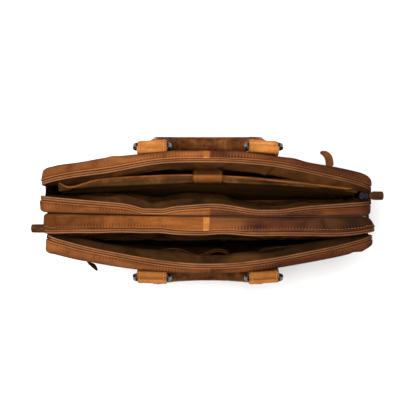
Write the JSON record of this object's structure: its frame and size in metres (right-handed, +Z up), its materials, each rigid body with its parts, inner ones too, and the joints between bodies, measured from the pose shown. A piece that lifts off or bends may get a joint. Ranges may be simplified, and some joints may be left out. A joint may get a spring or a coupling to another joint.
{
  "type": "leather briefcase",
  "caption": "Soft leather briefcase standing open: zipped compartments side by side, a padded laptop sleeve with strap, outer zip pockets and hinged carrying handles.",
  "frame": {"origin": "centre of the base's underside, on the floor", "axes": "+Z up, +X along the bag's length, +Y towards the rear panel, with the laptop sleeve"},
  "size_m": [0.4424, 0.1974, 0.3056],
  "materials": {
    "panel_leather": "waxed pull-up leather, mid brown",
    "gusset_leather": "waxed pull-up leather, cognac with darker and lighter patches",
    "trim_leather": "waxed pull-up leather, bright tan",
    "handle_leather": "waxed leather, dark brown and creased",
    "lining": "brown cotton twill",
    "zip_tape": "woven zip tape",
    "coil": "moulded coil",
    "board": "fibre board",
    "core": "handle filler cord",
    "hook_tape": "hook tape",
    "ring_metal": "gunmetal plating",
    "slider_metal": "antique plating, worn bright at the edges"
  },
  "bodies": {
    "base": {"base_panel": "panel_leather", "base_board": "board", "centre_board": "board", "centre_lining_rear": "lining", "centre_lining_front": "lining", "centre_rear_gusset": "gusset_leather", "centre_rear_zip_tape": "zip_tape", "centre_rear_zip_coil": "coil", "centre_front_gusset": "gusset_leather", "centre_front_zip_tape": "zip_tape", "centre_front_zip_coil": "coil"},
    "rear_shell": {"rear_panel": "panel_leather", "rear_gusset": "gusset_leather", "rear_zip_tape": "zip_tape", "rear_zip_coil": "coil", "rear_lining": "lining", "rear_pocket_zip": "zip_tape", "rear_handle_tab_left": "trim_leather", "rear_handle_tab_right": "trim_leather", "laptop_divider": "lining", "divider_binding": "trim_leather", "laptop_strap_anchor": "trim_leather"},
    "front_shell": {"front_panel": "panel_leather", "front_gusset": "gusset_leather", "front_zip_tape": "zip_tape", "front_zip_coil": "coil", "front_lining": "lining", "front_pocket_zip": "zip_tape", "front_handle_tab_left": "trim_leather", "front_handle_tab_right": "trim_leather", "organiser_pocket_left": "lining", "organiser_pocket_right": "lining"},
    "laptop_flap": {"laptop_strap": "trim_leather", "strap_hook_patch": "hook_tape"},
    "rear_ring_left": {"rear_ring_left": "ring_metal"},
    "rear_ring_right": {"rear_ring_right": "ring_metal"},
    "rear_handle": {"rear_handle": "handle_leather", "rear_handle_core": "core"},
    "front_ring_left": {"front_ring_left": "ring_metal"},
    "front_ring_right": {"front_ring_right": "ring_metal"},
    "front_handle": {"front_handle": "handle_leather", "front_handle_core": "core"},
    "rear_main_slider": {"rear_main_slider": "slider_metal"},
    "rear_main_pull": {"rear_main_pull_link": "slider_metal", "rear_main_pull": "trim_leather"},
    "front_main_slider": {"front_main_slider": "slider_metal"},
    "front_main_pull": {"front_main_pull_link": "slider_metal", "front_main_pull": "trim_leather"},
    "rear_pocket_slider": {"rear_pocket_slider": "slider_metal"},
    "rear_pocket_pull": {"rear_pocket_pull_link": "slider_metal", "rear_pocket_pull": "trim_leather"},
    "front_pocket_slider": {"front_pocket_slider": "slider_metal"},
    "front_pocket_pull": {"front_pocket_pull_link": "slider_metal", "front_pocket_pull": "trim_leather"}
  },
  "joints": [
    {"name": "rear_gape", "type": "hinge", "parent": "base", "child": "rear_shell", "pos_m": [0, 0.05, 0.003], "axis": [-1, 0, 0], "range_deg": [-0.3, 8]},
    {"name": "front_gape", "type": "hinge", "parent": "base", "child": "front_shell", "pos_m": [0, -0.05, 0.003], "axis": [1, 0, 0], "range_deg": [-0.3, 8]},
    {"name": "rear_ring_left_turn", "type": "hinge", "parent": "rear_shell", "child": "rear_ring_left", "pos_m": [0, 0.079, 0.291], "axis": [1, 0, 0], "range_deg": [0, 150]},
    {"name": "rear_ring_right_turn", "type": "hinge", "parent": "rear_shell", "child": "rear_ring_right", "pos_m": [0, 0.079, 0.291], "axis": [1, 0, 0], "range_deg": [0, 150]},
    {"name": "rear_handle_swing", "type": "hinge", "parent": "rear_ring_left", "child": "rear_handle", "pos_m": [0, 0.08492, 0.27831], "axis": [1, 0, 0], "range_deg": [0, 60]},
    {"name": "front_ring_left_turn", "type": "hinge", "parent": "front_shell", "child": "front_ring_left", "pos_m": [0, -0.079, 0.291], "axis": [-1, 0, 0], "range_deg": [0, 150]},
    {"name": "front_ring_right_turn", "type": "hinge", "parent": "front_shell", "child": "front_ring_right", "pos_m": [0, -0.079, 0.291], "axis": [-1, 0, 0], "range_deg": [0, 150]},
    {"name": "front_handle_swing", "type": "hinge", "parent": "front_ring_left", "child": "front_handle", "pos_m": [0, -0.08492, 0.27831], "axis": [-1, 0, 0], "range_deg": [0, 60]},
    {"name": "laptop_flap_lift", "type": "hinge", "parent": "rear_shell", "child": "laptop_flap", "pos_m": [0, 0.0505, 0.2906], "axis": [-1, 0, 0], "range_deg": [0, 110]},
    {"name": "rear_main_slider_run", "type": "hinge", "parent": "base", "child": "rear_main_slider", "pos_m": [-0.0289, -1.5575, 0.2989], "axis": [0, 0, 1], "range_deg": [0, 13.85]},
    {"name": "rear_main_pull_swing", "type": "hinge", "parent": "rear_main_slider", "child": "rear_main_pull", "pos_m": [0.193, 0.02023, 0.3036], "axis": [0, -1, 0], "range_deg": [0, 170]},
    {"name": "front_main_slider_run", "type": "hinge", "parent": "base", "child": "front_main_slider", "pos_m": [0.0165, 0.82423, 0.285], "axis": [0, 0, 1], "range_deg": [0, 25.49]},
    {"name": "front_main_pull_swing", "type": "hinge", "parent": "front_main_slider", "child": "front_main_pull", "pos_m": [-0.193, -0.02057, 0.2897], "axis": [0, 1, 0], "range_deg": [0, 95]},
    {"name": "rear_pocket_slider_run", "type": "hinge", "parent": "rear_shell", "child": "rear_pocket_slider", "pos_m": [-0.00655, -1.14707, 0.163], "axis": [0, 0, 1], "range_deg": [0, 14.69]},
    {"name": "rear_pocket_pull_swing", "type": "hinge", "parent": "rear_pocket_slider", "child": "rear_pocket_pull", "pos_m": [0.16366, 0.06208, 0.163], "axis": [0, 0, 1], "range_deg": [-115, 45]},
    {"name": "front_pocket_slider_run", "type": "hinge", "parent": "front_shell", "child": "front_pocket_slider", "pos_m": [-0.00634, 1.1097, 0.163], "axis": [0, 0, 1], "range_deg": [0, 16.78]},
    {"name": "front_pocket_pull_swing", "type": "hinge", "parent": "front_pocket_slider", "child": "front_pocket_pull", "pos_m": [-0.16664, -0.06309, 0.163], "axis": [0, 0, 1], "range_deg": [-115, 38]}
  ],
  "couplings": [
    {"joint": "rear_ring_right_turn", "follows": "rear_ring_left_turn", "ratio": 1},
    {"joint": "front_ring_right_turn", "follows": "front_ring_left_turn", "ratio": 1}
  ]
}
